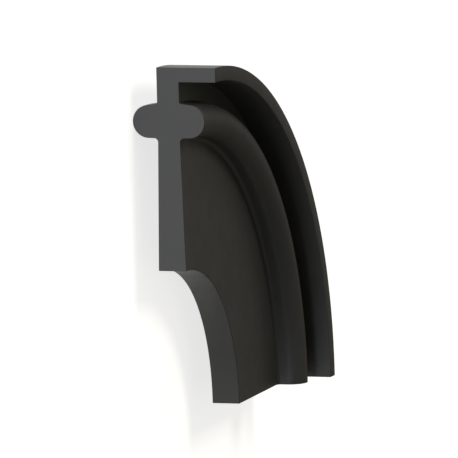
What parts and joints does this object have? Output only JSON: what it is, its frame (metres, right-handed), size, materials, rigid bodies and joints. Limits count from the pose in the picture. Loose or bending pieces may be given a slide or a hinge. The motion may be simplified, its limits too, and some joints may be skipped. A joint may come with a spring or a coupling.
{
  "type": "sanitary clamp gasket",
  "caption": "Quarter section of a flanged rubber clamp gasket: a thin web with a round-ended bead on either face and a gripping lip round the rim, lying with the lip upwards.",
  "frame": {"origin": "middle of the section's box, on the surface that it lies on, which the crest of the lower bead touches", "axes": "+Z along the ring's axis, on the side that the lip reaches to; -Y out of one cut face, +X out of the other"},
  "size_m": [0.0256, 0.0256, 0.0063],
  "materials": {
    "black_rubber": "satin moulded skin, with two fine cut faces"
  },
  "bodies": {
    "root": {"gasket_section": "black_rubber"}
  },
  "joints": []
}
